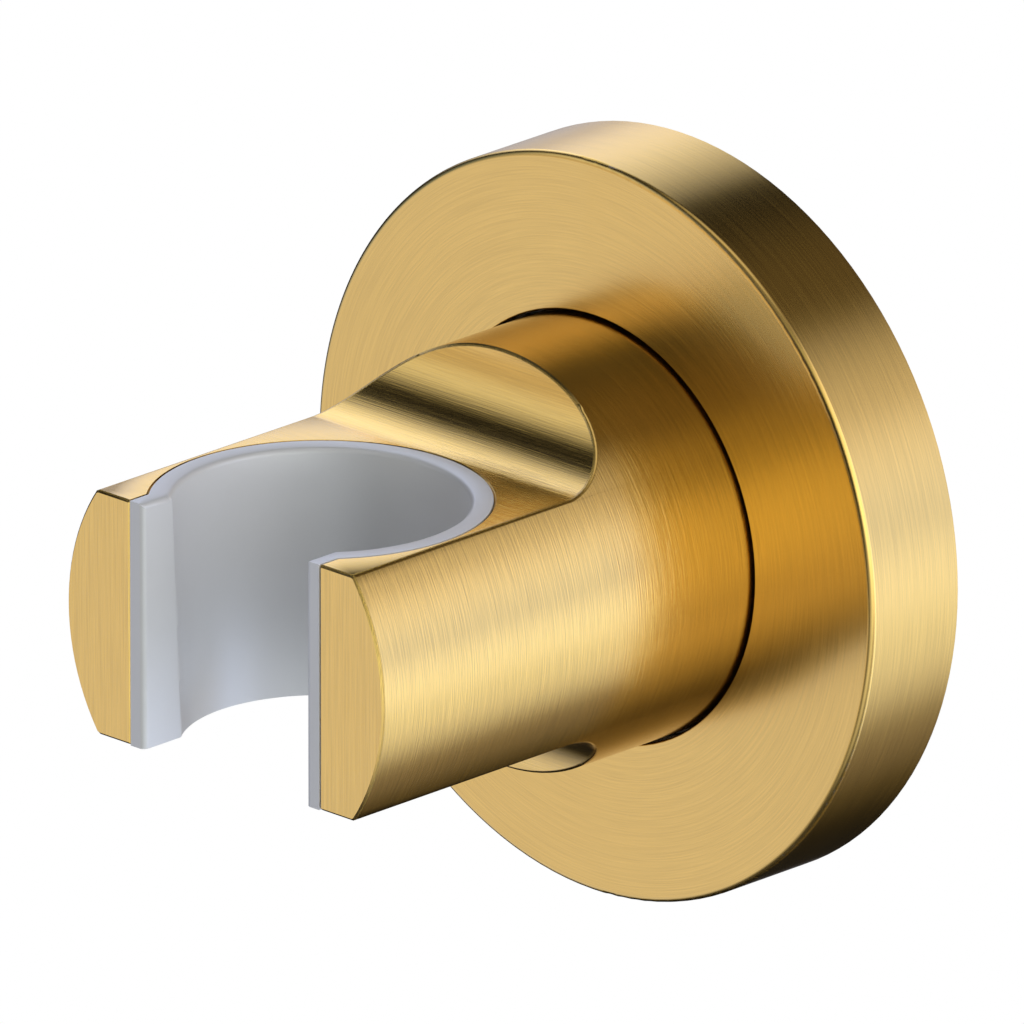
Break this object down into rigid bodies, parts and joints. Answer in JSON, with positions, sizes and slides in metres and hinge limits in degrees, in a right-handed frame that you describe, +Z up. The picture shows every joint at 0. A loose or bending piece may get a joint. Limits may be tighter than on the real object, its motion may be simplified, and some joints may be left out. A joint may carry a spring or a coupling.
{
  "type": "hand shower holder",
  "caption": "Fixed wall holder for a hand shower: a round rosette, a short milled bar arm and a lined open seat for the handset's cone.",
  "frame": {"origin": "middle of the rosette's back, on the wall face, between the two wall screw holes", "axes": "+Z up, +Y into the wall; the arm stands out along -Y and the seat's axis is upright"},
  "size_m": [0.06, 0.0498, 0.06],
  "materials": {
    "brushed_gold": "brushed",
    "grey_plastic": "satin",
    "bracket_steel": "satin",
    "screw_steel": "satin"
  },
  "bodies": {
    "root": {"rosette": "brushed_gold", "holder_arm": "brushed_gold", "liner": "grey_plastic", "wall_bracket": "bracket_steel", "arm_screw": "screw_steel", "locating_pin": "screw_steel", "grub_screw": "screw_steel"}
  },
  "joints": []
}
